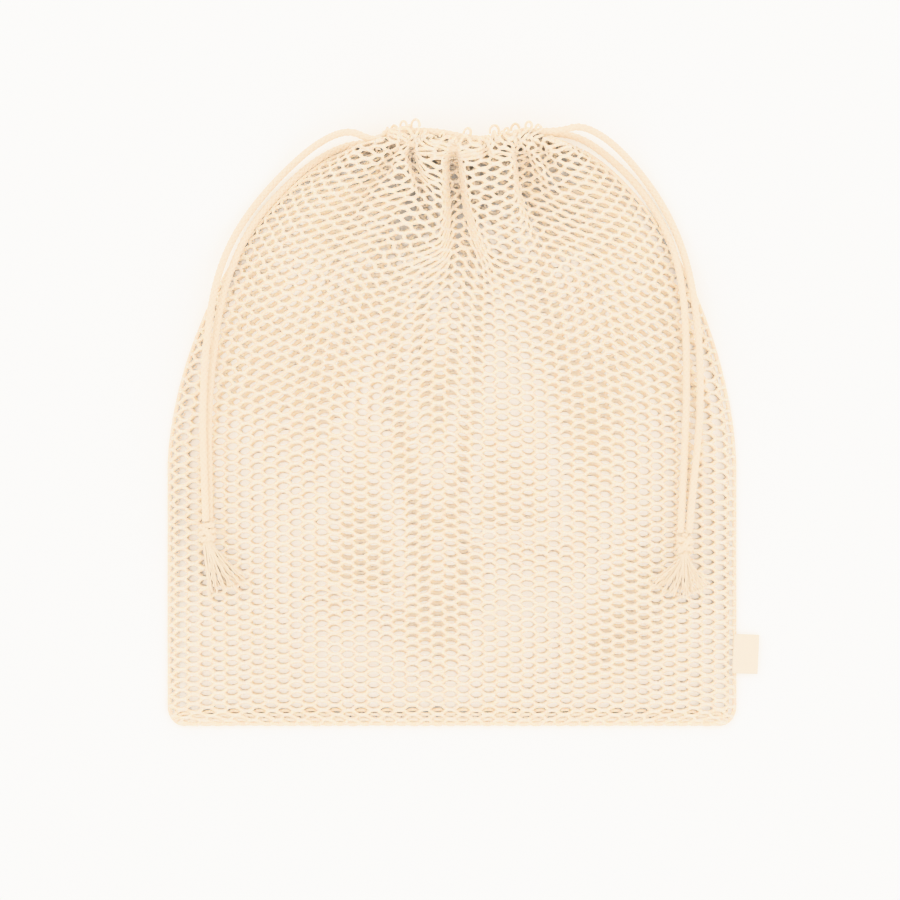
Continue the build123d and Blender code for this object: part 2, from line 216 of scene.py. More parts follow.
def waves(nodes, links, pairs):
    """The highest of several sine waves over UV. A pair is the waves per metre of u and per turn of v."""
    uv = nodes.new("ShaderNodeTexCoord")
    split = nodes.new("ShaderNodeSeparateXYZ")
    links.new(uv.outputs["UV"], split.inputs[0])
    total = None
    for along, around in pairs:
        parts = []
        for source, rate in ((split.outputs[0], along), (split.outputs[1], around)):
            part = nodes.new("ShaderNodeMath")
            part.operation = "MULTIPLY"
            part.inputs[1].default_value = rate * 2 * math.pi
            links.new(source, part.inputs[0])
            parts.append(part)
        add = nodes.new("ShaderNodeMath")
        links.new(parts[0].outputs[0], add.inputs[0])
        links.new(parts[1].outputs[0], add.inputs[1])
        sine = nodes.new("ShaderNodeMath")
        sine.operation = "SINE"
        links.new(add.outputs[0], sine.inputs[0])
        if total is None:
            total = sine
        else:
            both = nodes.new("ShaderNodeMath")
            both.operation = "MAXIMUM"
            links.new(total.outputs[0], both.inputs[0])
            links.new(sine.outputs[0], both.inputs[1])
            total = both
    return total.outputs[0]


def chain_bumps(nodes, links):
    """The slanted legs of a chain stitch, 1.3 mm long."""
    return waves(nodes, links, [(CHAIN_RATE, 1), (CHAIN_RATE, -1)])


def yarn_bumps(nodes, links):
    """Twisted yarn."""
    return waves(nodes, links, [(YARN_RATE, 2)])


def weave_bumps(nodes, links):
    """Plain weave. Its UV is in metres both ways."""
    return waves(nodes, links, [(WEAVE_RATE, 0), (0, WEAVE_RATE)])


COTTON = shade("cotton_net", (0.911, 0.767, 0.608), (0.881, 0.733, 0.576), 0.85, 0.1, chain_bumps, soft=0.4)
THREAD = shade("cotton_thread", (0.911, 0.772, 0.613), (0.881, 0.738, 0.581), 0.8, 0.25, yarn_bumps)
ROPE = shade("cotton_braid", (0.90, 0.775, 0.62), (0.87, 0.735, 0.58), 0.85, 0.3, yarn_bumps, 500.0)
FRAY = shade("cotton_fray", (0.93, 0.805, 0.65), (0.90, 0.765, 0.605), 0.85, 0.4, yarn_bumps, 500.0)
TAPE = shade("label_tape", (0.91, 0.80, 0.66), (0.89, 0.775, 0.635), 0.8, 0.2, weave_bumps)


def finish_piece(piece, body, material, slot, *nodes):
    """Everything that a piece needs: its material, its body and the CAD nodes it stands for. slot is not
    used.
    """
    piece.data.materials.clear()
    piece.data.materials.append(material)
    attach(piece, body)
    if nodes:
        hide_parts(*nodes)
    return piece


# ---- The cords' routes ----------------------------------------------------------------------------
LANE_LEFT_Y = 142.0
LANE_RIGHT_Y = 146.6
BACK_LANE_Z = 4.2
FRONT_LANE_Z = 19.2
LEFT_EXIT_X = -33.0
RIGHT_EXIT_X = 47.0
ROUTES = {
    "left_cord_front_run": [
        (LEFT_EXIT_X, LANE_LEFT_Y, FRONT_LANE_Z),
        (-40.0, LANE_LEFT_Y, FRONT_LANE_Z),
        (-51.5, 147.8, 17.2),
        (-67.0, 141.5, 10.4),
        (-83.5, 127.5, 4.4),
        (-98.8, 110.6, 3.2),
        (-110.4, 92.5, 6.2),
        (-118.0, 71.0, 13.2),
        (-121.6, 46.0, 15.4),
        (-123.6, 20.0, 15.9),
        (-123.8, -5.0, 15.7),
        (-123.0, -27.0, 15.8),
        (-122.3, -46.8, 16.0),
    ],
    "left_cord_back_run": [
        (LEFT_EXIT_X, LANE_LEFT_Y, BACK_LANE_Z),
        (-43.0, LANE_LEFT_Y, BACK_LANE_Z),
        (-55.5, 139.8, 3.2),
        (-69.5, 132.2, 2.4),
        (-84.5, 118.8, 2.3),
        (-98.8, 102.6, 2.6),
        (-108.4, 84.0, 7.0),
        (-115.2, 63.0, 9.3),
        (-118.6, 39.0, 11.1),
        (-120.8, 15.0, 11.6),
        (-121.2, -8.0, 11.5),
        (-120.9, -28.0, 11.6),
        (-120.7, -46.8, 12.0),
    ],
    "right_cord_front_run": [
        (RIGHT_EXIT_X, LANE_RIGHT_Y, FRONT_LANE_Z),
        (54.0, LANE_RIGHT_Y, FRONT_LANE_Z),
        (64.0, 150.0, 17.4),
        (78.8, 142.6, 10.6),
        (93.5, 127.6, 4.6),
        (106.5, 109.0, 3.0),
        (115.6, 88.0, 5.2),
        (120.4, 66.0, 10.4),
        (123.0, 42.0, 12.0),
        (123.7, 18.0, 12.2),
        (122.6, -6.0, 12.0),
        (119.8, -30.0, 12.2),
        (117.7, -52.8, 14.0),
    ],
    "right_cord_back_run": [
        (RIGHT_EXIT_X, LANE_RIGHT_Y, BACK_LANE_Z),
        (56.0, LANE_RIGHT_Y, BACK_LANE_Z),
        (67.5, 142.8, 3.0),
        (80.5, 133.0, 2.4),
        (93.5, 120.0, 2.3),
        (103.8, 104.4, 2.8),
        (111.6, 86.0, 6.9),
        (115.6, 64.0, 11.2),
        (116.6, 40.0, 12.2),
        (116.7, 16.0, 12.4),
        (115.9, -8.0, 12.0),
        (114.8, -31.0, 12.0),
        (113.7, -52.8, 14.2),
    ],
}


def spline_path(route):
    """Points along the smooth curve that a route's points control."""
    curve = bpy.data.curves.new("route", "CURVE")
    curve.dimensions = "3D"
    curve.resolution_u = 24
    spline = curve.splines.new("NURBS")
    spline.points.add(len(route) - 1)
    for point, place in zip(spline.points, route):
        point.co = (*[c * MM for c in place], 1)
    spline.order_u = 3
    spline.use_endpoint_u = True
    holder = bpy.data.objects.new("route", curve)
    bpy.context.scene.collection.objects.link(holder)
    mesh = bpy.data.meshes.new_from_object(holder)
    path = np.zeros(len(mesh.vertices) * 3)
    mesh.vertices.foreach_get("co", path)
    bpy.data.objects.remove(holder)
    bpy.data.meshes.remove(mesh)
    return path.reshape(-1, 3)


BRAID_PITCH = 13 * MM
BRAID_STRANDS = 4  # each way
BRAID_STEP = 0.55 * MM
BRAID_STRAND = 0.42  # a strand's width, as a share of the cord's
BRAID_FLATNESS = 0.62  # a strand's thickness, as a share of its width
BRAID_RELIEF = 0.14  # how far a strand dips under the others, as a share of the cord's radius
BRAID_CORE = 0.62


def braid(tubes, path, diameter=CORD):
    """Braids eight strands round a path: four wind each way, over and under each other."""
    path = resampled(path, BRAID_STEP)
    tangent, side, up = carried(path)
    along = np.arange(len(path)) * BRAID_STEP
    turn = along / BRAID_PITCH * 2 * math.pi
    radius = diameter / 2
    strand = BRAID_STRAND * diameter
    centres, sides, ups = [], [], []
    for way in (1, -1):
        for k in range(BRAID_STRANDS):
            start = 2 * math.pi * k / BRAID_STRANDS
            angle = way * turn + start
            weave = np.cos(BRAID_STRANDS * turn + (0 if way > 0 else math.pi))
            out = radius - 0.5 * BRAID_FLATNESS * strand - BRAID_RELIEF * radius * (1 - weave)
            spoke = side * np.cos(angle)[:, None] + up * np.sin(angle)[:, None]
            centres.append(path + spoke * out[:, None])
            ups.append(spoke)
            sides.append(unit(np.cross(spoke, np.gradient(centres[-1], axis=0))))
    tubes.add(np.array(centres), np.array(sides), np.array(ups), strand, BRAID_FLATNESS * strand, sides=8)
    core = BRAID_CORE * diameter
    tubes.add(path[None], side[None], up[None], core, core, sides=8)


# ---- Camera and light -----------------------------------------------------------------------------
VIEW_WIDTH = 0.450
VIEW_CENTRE = (-1.0 * MM, -11.5 * MM)
VIEW_HEIGHT = 2.4
SENSOR = 36
WORLD_STRENGTH = 1.95
FLOOR_REACH = 3.0
FLOOR_TONE = (0.98, 0.97, 0.95, 1)


def camera():
    data = bpy.data.cameras.new("camera")
    data.sensor_width = SENSOR
    data.lens = SENSOR * VIEW_HEIGHT / VIEW_WIDTH
    data.clip_end = 20
    made = bpy.data.objects.new("camera", data)
    bpy.context.scene.collection.objects.link(made)
    made.location = (*VIEW_CENTRE, VIEW_HEIGHT)
    bpy.context.scene.camera = made


def lights():
    world = bpy.data.worlds.new("studio")
    bpy.context.scene.world = world
    world.use_nodes = True
    background = world.node_tree.nodes["Background"]
    background.inputs["Color"].default_value = (1.0, 1.0, 1.0, 1)
    background.inputs["Strength"].default_value = WORLD_STRENGTH
    for name, place, size, power in (
        ("key", (-0.9, 0.9, 1.3), 1.4, 18.0),
        ("fill", (1.1, -0.3, 1.2), 1.4, 14.0),
    ):
        data = bpy.data.lights.new(name, "AREA")
        data.size = size
        data.energy = power
        made = bpy.data.objects.new(name, data)
        bpy.context.scene.collection.objects.link(made)
        made.location = place
        made.rotation_euler = (-Vector(place)).to_track_quat("-Z", "Y").to_euler()


def floor():
    mesh = bpy.data.meshes.new("floor")
    corners = [(x * FLOOR_REACH, y * FLOOR_REACH, 0) for x, y in ((-1, -1), (1, -1), (1, 1), (-1, 1))]
    mesh.from_pydata(corners, [], [(0, 1, 2, 3)])
    made = bpy.data.objects.new("floor", mesh)
    bpy.context.scene.collection.objects.link(made)
    material = bpy.data.materials.new("floor")
    material.use_nodes = True
    surface = material.node_tree.nodes["Principled BSDF"]
    surface.inputs["Base Color"].default_value = FLOOR_TONE
    surface.inputs["Roughness"].default_value = 0.9
    made.data.materials.append(material)


camera()
lights()
floor()
bpy.context.scene.view_settings.view_transform = "Khronos PBR Neutral"

# ---- The cloth: two panels of net, each worked out on a grid over its flat cloth --------------------
COLUMNS, ROWS = 189, 222  # points of the grid across and along the cloth
EDGE_SLACK = 0.93  # how far apart the rows are along the straight edge, against the cloth laid flat
EDGE_PULL = 0.25  # and how much further round the shoulders
PULL_START, PULL_GROWS = 0.36, 0.25  # as shares of the edge, from the bottom
LENGTHWISE_PULL = 0.8  # against the pull across
FLAT_U = np.linspace(0, CLOTH_WIDTH, COLUMNS)
FLAT_V = np.linspace(0, CLOTH_LENGTH, ROWS)


def side_x(y, side):
    """Where the bag's edge is at height y, on the left (side -1) or the right (side 1)."""
    mouth = MOUTH_RIGHT if side > 0 else -MOUTH_LEFT
    up = np.clip((y - SHOULDER_Y) / (SHOULDER_TOP_Y - SHOULDER_Y), 0, 1)
    return side * (mouth + (HALF_WIDTH - mouth) * (1 - up**SHOULDER_POWER) ** (1 / SHOULDER_POWER))


def side_path(side, count):
    """Points up the bag's edge, from the bottom corner to the end of the mouth, one for each row."""
    straight = np.linspace(BOTTOM_Y, SHOULDER_Y, 200)[:-1]
    curved = SHOULDER_Y + (SHOULDER_TOP_Y - SHOULDER_Y) * np.sin(np.linspace(0, math.pi / 2, 2000))
    y = np.concatenate([straight, curved])
    x = side_x(y, side)
    drop = np.clip(BOTTOM_Y + CORNER - y, 0, CORNER)
    x = x - side * (CORNER - np.sqrt(CORNER**2 - drop**2)) * CORNER_DEPTH
    along = np.concatenate([[0], np.cumsum(np.hypot(np.diff(x), np.diff(y)))])
    share = np.linspace(0, 1, count)
    places = np.cumsum(EDGE_SLACK + EDGE_PULL * smooth((share - PULL_START) / PULL_GROWS))
    places = (places - places[0]) * along[-1] / (places[-1] - places[0])
    return np.stack([np.interp(places, along, x), np.interp(places, along, y)], 1)


# The folded edge of the casing, seen from above, from one end of the mouth to the other.
MOUTH_EDGE = np.array([
    (-34, 148.0), (-29.5, 149.5), (-24, 150.0), (-18, 150.6), (-14, 147.6), (-8, 145.4), (-2, 144.8),
    (1, 144.4), (5, 144.2), (8, 146.6), (11, 144.4), (15, 143.2), (18, 145.6), (21, 147.4), (25, 146.4),
    (31.6, 149.6), (38, 150.0), (45, 147.8), (48, 146.5),
]) * MM


def spread_flat():
    """The cloth spread evenly in the plane between the bag's edges and the mouth (a harmonic map, solved in
    the sine modes of its rows and columns)."""
    plane = np.zeros((ROWS, COLUMNS, 2))
    plane[:, 0], plane[:, -1] = side_path(-1, ROWS), side_path(1, ROWS)
    share = np.linspace(0, 1, COLUMNS)
    plane[0] = plane[0, 0] * (1 - share[:, None]) + plane[0, -1] * share[:, None]
    top_x = MOUTH_LEFT + (MOUTH_RIGHT - MOUTH_LEFT) * share
    plane[-1] = np.stack([top_x, np.interp(top_x, *MOUTH_EDGE.T)], 1)
    rows, columns = ROWS - 2, COLUMNS - 2
    pull_u = (COLUMNS - 1) ** 2 / CLOTH_WIDTH**2
    pull_v = (ROWS - 1) ** 2 / CLOTH_LENGTH**2 * LENGTHWISE_PULL

    def modes(count):
        band = 2 * np.eye(count) - np.eye(count, k=1) - np.eye(count, k=-1)
        return np.linalg.eigh(band)

    (value_v, mode_v), (value_u, mode_u) = modes(rows), modes(columns)
    for axis in range(2):
        force = np.zeros((rows, columns))
        force[:, 0] += pull_u * plane[1:-1, 0, axis]
        force[:, -1] += pull_u * plane[1:-1, -1, axis]
        force[0] += pull_v * plane[0, 1:-1, axis]
        force[-1] += pull_v * plane[-1, 1:-1, axis]
        bent = mode_v.T @ force @ mode_u
        bent /= pull_v * value_v[:, None] + pull_u * value_u[None, :]
        plane[1:-1, 1:-1, axis] = mode_v @ bent @ mode_u.T
    return plane


# Folds: points along each one, as (x, y, height, half-width to its left, and to its right), in
# millimetres, from the mouth down. Valleys are negative.
FRONT_FOLDS = [
    [(0.5, 138, -4.0, 2.6, 2.6), (0.6, 132, -13.0, 4.4, 4.0), (2.2, 112, -13.0, 5.4, 5.0),
     (5, 96, -9.5, 9, 7.0), (9, 76, -4.2, 13, 10), (12, 50, 0, 15, 13)],
    [(32, 139, -3.5, 2.0, 3.6), (33.5, 132, -12.0, 3.0, 7.0), (36, 117, -10.5, 4.0, 12),
     (44, 102, -5.4, 7, 15), (60, 84, 0, 12, 15)],
    [(-20, 141, -3.0, 2.2, 2.0), (-20, 134, -9.0, 2.8, 2.4), (-15, 118, -5.0, 3.4, 4.4),
     (-10, 100, 0, 5, 7)],
    [(-29, 138, -2.0, 3.0, 2.4), (-32, 129, -7.0, 4.0, 3.0), (-46, 116, -4.0, 7, 5), (-64, 96, 0, 9, 7)],
    [(16, 140, -2.0, 2.0, 2.0), (17, 136, -4.0, 2.2, 2.2), (17, 129, 0, 2.6, 2.6)],
    [(43, 140, -2.6, 2.4, 2.4), (47, 131, -7.0, 2.6, 3.4), (58, 117, -3.6, 4, 7), (78, 98, 0, 7, 9)],
    [(-44, 136, 1.6, 5, 6), (-66, 112, 2.2, 9, 9), (-82, 84, 1.2, 11, 11), (-92, 52, 0, 12, 12)],
    [(58, 128, 1.0, 5, 5), (80, 104, 1.8, 9, 9), (94, 74, 1.0, 11, 11), (100, 50, 0, 12, 12)],
    [(-8, 128, 1.4, 7, 5), (-16, 100, 2.2, 11, 7), (-30, 66, 0, 14, 12)],
    [(18, 134, 1.2, 8, 8), (22, 108, 2.6, 9, 9), (30, 76, 1.4, 13, 13), (38, 44, 0, 14, 14)],
    [(-82, -72, 0, 4, 4), (-62, -77, 3.0, 4, 4), (-28, -86, 3.2, 4, 4), (0, -92, 0, 6, 6)],
    [(-34, -52, 0, 4, 4), (-6, -54, 2.6, 4, 4), (46, -53, 2.4, 4, 4), (86, -44, 0, 6, 6)],
    [(56, -130, 0, 5, 5), (74, -122, 3.0, 5, 5), (98, -108, 2.8, 5, 5), (118, -97, 0, 7, 7)],
    [(-134, -66, 0, 5, 5), (-112, -78, 1.6, 6, 6), (-84, -104, 1.4, 6, 6), (-62, -118, 0, 6, 6)],
    [(-118, 40, 0, 6, 6), (-104, 8, 0.9, 8, 8), (-98, -30, 0.7, 8, 8), (-104, -58, 0, 8, 8)],
    [(104, 44, 0, 6, 6), (98, 6, -1.0, 8, 8), (96, -34, -0.8, 8, 8), (102, -62, 0, 8, 8)],
]
BACK_FOLDS = [
    [(10, 136, 3.0, 3, 3), (9, 122, 5.0, 4, 4), (6, 100, 2.6, 7, 7), (2, 76, 0, 10, 10)],
    [(-16, 136, 2.5, 3, 3), (-17, 120, 4.2, 4, 4), (-26, 98, 2.0, 7, 7), (-38, 78, 0, 9, 9)],
    [(36, 134, 2.0, 3, 3), (42, 116, 3.4, 5, 5), (54, 96, 1.6, 8, 8), (66, 80, 0, 9, 9)],
]


FOLD_SHAPE = 3.6  # 2 is a bell, and more is flatter with steeper walls


def folded(x, y, folds):
    """Height that the folds add at each point."""
    total = np.zeros_like(x)
    for fold in folds:
        fold = np.array(fold) * MM
        nearest = np.full(x.shape, 1e9)
        height, width = np.zeros_like(x), np.ones_like(x)
        for (ax, ay, *start), (bx, by, *end) in zip(fold, fold[1:]):
            t = ((x - ax) * (bx - ax) + (y - ay) * (by - ay)) / ((bx - ax) ** 2 + (by - ay) ** 2)
            t = np.clip(t, 0, 1)
            away = np.hypot(x - ax - t * (bx - ax), y - ay - t * (by - ay))
            on_left = (x - ax) * (by - ay) - (y - ay) * (bx - ax) > 0
            high, left, right = [a + t * (b - a) for a, b in zip(start, end)]
            closer = away < nearest
            nearest = np.where(closer, away, nearest)
            height = np.where(closer, high, height)
            width = np.where(closer, np.where(on_left, left, right), width)
        total += height * np.exp(-((nearest / width) ** FOLD_SHAPE))
    return total


# Height of the front panel along its middle, in millimetres, from the bottom seam up to the mouth.
FRONT_CROWN = np.array([
    (-148.5, 3.2), (-143, 4.6), (-134, 6.6), (-118, 7.8), (-75, 8.5), (-20, 9.0), (25, 9.8),
    (60, 11.2), (90, 14.2), (110, 17.8), (124, 20.8), (132, 21.9), (150, 22.3),
]) * MM
SEAM_Z = 2.1 * MM  # height of the bag's edge
NET_Z = 0.8 * MM  # height of the back panel's middle, on the floor
PLEATS_ACROSS = (11, 24)
PLEAT_LEAN = 0.4
PLEAT_FADE = (0.7, 1.3)
PLEATLESS_EDGE = 0.06  # share of the width without pleats, at each edge


def gathers(x, y, seed, count, reach):
    """Pleats where the mouth is drawn together, from about -1 to 1. They die away below it."""
    draw = np.random.default_rng(seed)
    left, right = side_x(y, -1), side_x(y, 1)
    share = np.clip((x - left) / (right - left), 0, 1)
    depth = np.clip((SHOULDER_TOP_Y - y) / reach, 0, 5)
    total = np.zeros_like(x)
    for _ in range(count):
        pleats, start = draw.uniform(*PLEATS_ACROSS), draw.uniform(0, 2 * math.pi)
        lean = draw.uniform(-PLEAT_LEAN, PLEAT_LEAN)
        pleat = np.sin(2 * math.pi * pleats * share + start + lean * depth)
        total += pleat * np.exp(-depth * draw.uniform(*PLEAT_FADE))
    return total / math.sqrt(count) * smooth(np.minimum(share, 1 - share) / PLEATLESS_EDGE)


CRUMPLE_WAVES = 14


def crumple(seed, per_metre, height):
    """Faint unevenness all over: waves of about so many per metre."""
    draw = np.random.default_rng(seed)
    total = np.zeros((ROWS, COLUMNS))
    for _ in range(CRUMPLE_WAVES):
        ku, kv = draw.normal(0, per_metre, 2) * 2 * math.pi
        total += np.cos(ku * FLAT_U[None, :] + kv * FLAT_V[:, None] + draw.uniform(0, 6.28))
    return total / math.sqrt(CRUMPLE_WAVES) * height


HIDDEN = 4.0  # how much more cloth the steepest walls of a pleat hide than they show, at most


ROWS_CALM_EDGE = 28 * MM  # how far in from the bag's edges the cloth hides less, along the rows
COLUMNS_CALM_EDGE = 40 * MM  # and along the columns
EDGE_HIDES = 0.1  # share that is still hidden at the very edge
ROWS_STEEPEST, COLUMNS_STEEPEST = 5.0, 4.0
ROWS_BLUR, COLUMNS_BLUR = 3, 12


def blurred(lines, reach):
    """Each column averaged with its neighbours, reach of them on each side."""
    weight = np.hanning(2 * reach + 3)[1:-1]
    padded = np.pad(lines, ((0, 0), (reach, reach)), mode="edge")
    total = sum(w * padded[:, k:k + lines.shape[1]] for k, w in enumerate(weight))
    return total / weight.sum()


def slid(lines, used):
    """Points moved along each line so that each step has an equal share of used."""
    used = np.concatenate([np.zeros((len(lines), 1)), np.cumsum(used, axis=1)], axis=1)
    count = lines.shape[1]
    moved = np.empty_like(lines)
    for line, (points, places) in enumerate(zip(lines, used)):
        even = np.linspace(0, places[-1], count)
        for k in range(3):
            moved[line, :, k] = np.interp(even, places, points[:, k])
    return moved


def steepness(lines, most):
    """How long each step is, and how many times longer than it looks from above, up to most."""
    step = np.diff(lines, axis=1)
    flat, length = np.linalg.norm(step[..., :2], axis=2) + 1e-9, np.linalg.norm(step, axis=2)
    return length, np.minimum(length / flat, most)


def respaced(cloth):
    """Slides the cloth along its rows and then its columns, so that steep folds take their share of it.
    A row shorter than the cloth is wide hides the rest in its steepest places, and its ridges stay open."""
    length, steep = steepness(cloth, ROWS_STEEPEST)
    near = smooth(edge_distance(cloth[:, 1:, 0], cloth[:, 1:, 1]) / ROWS_CALM_EDGE)
    extra = length * (steep - 1) * (EDGE_HIDES + (1 - EDGE_HIDES) * near)
    spare = CLOTH_WIDTH - length.sum(axis=1)
    hidden = np.clip(spare / (extra.sum(axis=1) + 1e-6), 0, HIDDEN)
    cloth = slid(cloth, blurred((length + hidden[:, None] * extra).T, ROWS_BLUR).T)
    columns = cloth.swapaxes(0, 1)
    steep = steepness(columns, COLUMNS_STEEPEST)[1]
    near = smooth(edge_distance(columns[:, 1:, 0], columns[:, 1:, 1]) / COLUMNS_CALM_EDGE)
    return slid(columns, blurred((1 + (steep - 1) * near).T, COLUMNS_BLUR).T).swapaxes(0, 1)


def edge_distance(x, y):
    """How far in from the bag's nearer side a point is."""
    return np.maximum(0, np.minimum(x - side_x(y, -1), side_x(y, 1) - x))


FRONT_PLEATS = {"seed": 5, "count": 4, "reach": 24 * MM}
BACK_PLEATS = {"seed": 8, "count": 4, "reach": 22 * MM}
PLEAT_HEIGHT = 1.0 * MM
EDGE_RISE = 36 * MM  # how far in from the edge the front panel reaches its full height
MOUTH_STEEPER = 31 * MM  # how much sooner it does at the mouth
FRILL = 1.3 * MM  # how far the pleats push the mouth's edge up and down
FRILL_REACH = 9 * MM


def into_casing(y):
    """0 below the casing and 1 from the ends of the mouth up."""
    return smooth((y - CASING_Y) / CASING_RISE)


def front_height(x, y):
    crown = np.interp(y, *FRONT_CROWN.T)
    rise = edge_distance(x, y) / (EDGE_RISE - MOUTH_STEEPER * into_casing(y))
    pleats = PLEAT_HEIGHT * (gathers(x, y, **FRONT_PLEATS) + 0.35 * smooth((y - 0.11) / 0.03))
    top = SEAM_Z + (crown - SEAM_Z) * (1 - (1 - np.clip(rise, 0, 1)) ** 2.0)
    return top + pleats + folded(x, y, FRONT_FOLDS)


def back_height(x, y):
    pleats = PLEAT_HEIGHT * gathers(x, y, **BACK_PLEATS)
    lift = 1.4 * MM * smooth((y - 0.10) / 0.03)
    return NET_Z + np.maximum(0, lift + pleats) + np.maximum(0, folded(x, y, BACK_FOLDS))


def panel(front):
    """The grid of a panel's points, as it lies in the bag."""
    plane = spread_flat()
    height = front_height if front else back_height
    cloth = np.dstack([plane, height(plane[..., 0], plane[..., 1])])
    for _ in range(2):
        cloth = respaced(cloth)
        cloth[..., 2] = height(cloth[..., 0], cloth[..., 1])
    x, y, z = cloth[..., 0], cloth[..., 1], cloth[..., 2]
    if front:
        near = 12 * MM - 9 * MM * into_casing(y)
        inner = smooth(edge_distance(x, y) / near) * smooth((y - BOTTOM_Y) / (12 * MM))
        z = SEAM_Z + (z + crumple(11, 22, 0.25 * MM) - SEAM_Z) * (0.25 + 0.75 * inner)
    frill = gathers(x, y, **(FRONT_PLEATS if front else BACK_PLEATS))
    frill = FRILL * frill * smooth(1 - (CLOTH_LENGTH - FLAT_V) / FRILL_REACH)[:, None]
    return np.dstack([x, y + frill, z])


class Surface:
    """Smooth look-up of a panel's place and direction at any point of its flat cloth."""

    def __init__(self, cloth):
        self.cloth = cloth
        du = np.gradient(cloth, axis=1)
        dv = np.gradient(cloth, axis=0)
        self.normal = unit(np.cross(du, dv))

    def look(self, grid, u, v):
        column = np.clip(u / CLOTH_WIDTH * (COLUMNS - 1), 0, COLUMNS - 1.0001)
        row = np.clip(v / CLOTH_LENGTH * (ROWS - 1), 0, ROWS - 1.0001)
        i, j = column.astype(int), row.astype(int)
        s, t = column - i, row - j
        total = 0
        for dj, weight_v in zip((-1, 0, 1, 2), self.weights(t)):
            for di, weight_u in zip((-1, 0, 1, 2), self.weights(s)):
                at = grid[np.clip(j + dj, 0, ROWS - 1), np.clip(i + di, 0, COLUMNS - 1)]
                total = total + at * (weight_v * weight_u)[..., None]
        return total

    @staticmethod
    def weights(t):
        """Catmull-Rom."""
        return (
            0.5 * (-t + 2 * t**2 - t**3),
            0.5 * (2 - 5 * t**2 + 3 * t**3),
            0.5 * (t + 4 * t**2 - 3 * t**3),
            0.5 * (-(t**2) + t**3),
        )

    def at(self, u, v):
        """Places and normals. Points past the cloth's top stand straight up from it."""
        place = self.look(self.cloth, u, v)
        place[..., 1] += np.maximum(0, v - CLOTH_LENGTH)
        return place, unit(self.look(self.normal, u, v))


STEPS_IN_WAVE = 10
WALES = int(CLOTH_LENGTH / WALE_PITCH)


def wale_line(index, draw, span, shift):
    """One row of the net: its points on the flat cloth."""
    steps = int(round((span[1] - span[0]) / WAVE_LENGTH * STEPS_IN_WAVE))
    u = np.linspace(span[0], span[1], steps + 1)
    sign = 1 if index % 2 == 0 else -1
    swell = 1 + 0.10 * np.sin(u * draw.uniform(90, 160) + draw.uniform(0, 6.3))
    drift = 0.10 * MM * np.sin(u * draw.uniform(60, 130) + draw.uniform(0, 6.3))
    wave = np.tanh(WAVE_FLATNESS * np.cos(2 * math.pi * (u + shift) / WAVE_LENGTH)) / math.tanh(WAVE_FLATNESS)
    if index == WALES - 1:  # the folded edge of the casing is open loops
        swell = 1.7 + 0.7 * np.sin(u * 170 + 1.0)
    wave = sign * WAVE_HEIGHT * swell * wave
    return u, (index + 0.5) * WALE_PITCH + wave + drift


def net(tubes, surface, first, last, seed=1, span=(0, CLOTH_WIDTH), shift=0.0):
    """Sweeps the rows from first to last over a panel. shift slides their waves along them."""
    draw = np.random.default_rng(seed)
    lines = [wale_line(i, draw, span, shift) for i in range(first, last)]
    u = np.array([line[0] for line in lines])
    v = np.array([line[1] for line in lines])
    place, normal = surface.at(u, v)
    over = np.array([1 if i % 2 == 0 else -1 for i in range(first, last)])[:, None]
    meet = np.abs(np.cos(2 * math.pi * (u + shift) / WAVE_LENGTH))
    place = place + normal * (0.10 * MM * over * meet)[..., None]
    along = unit(np.gradient(place, axis=1))
    across = unit(np.cross(normal, along))
    wide = STRAND_WIDE * (1 + 0.08 * np.sin(u * 700 + 40 * over)) * (1 + 0.06 * meet)
    tubes.add(place, across, normal, wide, STRAND_THICK)


front_surface = Surface(panel(True))
back_surface = Surface(panel(False))
CASING_WALES = int(round(CASING_DEPTH / WALE_PITCH))
STITCH_WALE = WALES - CASING_WALES


def lining(surface, away, pleats):
    """The casing's inner layer: round the cords with the outer one, and closed at its two edges."""
    cloth = surface.cloth.copy()
    depth = np.clip((CLOTH_LENGTH - FLAT_V) / CASING_DEPTH, 0, 1)[:, None]
    open_by = np.sin(math.pi * depth) ** 0.7
    bulge = 2 * PLEAT_HEIGHT * np.maximum(-0.35, gathers(cloth[..., 0], cloth[..., 1], **pleats))
    cloth[..., 2] += away * (0.9 * MM + (4.9 * MM + bulge) * open_by)
    cloth[..., 2] = np.maximum(cloth[..., 2], NET_Z)
    return Surface(cloth)


# Each panel is one cloth: the net, and its top folded inside round the drawstrings as the casing.
PANELS = (("front", front_surface, -1, FRONT_PLEATS), ("back", back_surface, 1, BACK_PLEATS))
for side, surface, away, pleats in PANELS:
    half = STITCH_WALE // 2
    lower, upper = Tubes(), Tubes()
    net(lower, surface, 0, half, seed=3)
    net(upper, surface, half, WALES, seed=4)
    net(upper, lining(surface, away, pleats), STITCH_WALE, WALES, seed=22)
    for tubes, part, rows, nodes in (
        (lower, "lower", half, [f"{side}_panel"]),
        (upper, "upper", WALES - half + CASING_WALES, [f"{side}_panel", f"{side}_casing"]),
    ):
        piece = finish_piece(tubes.build(f"{side}_net_{part}"), "bag", COTTON, "net", *nodes)


LOOPS = (
    (-29, 1.6), (-24.5, 2.1), (-18.5, 2.5), (-12, 1.2), (-5, 1.1), (7.8, 2.2), (15.5, 1.3), (20.8, 2.7),
    (27, 1.4), (31.6, 2.1), (38, 1.9), (43, 1.5),
)  # x and size, in millimetres
LOOP_Z = {"front": 21.0, "back": 5.5}


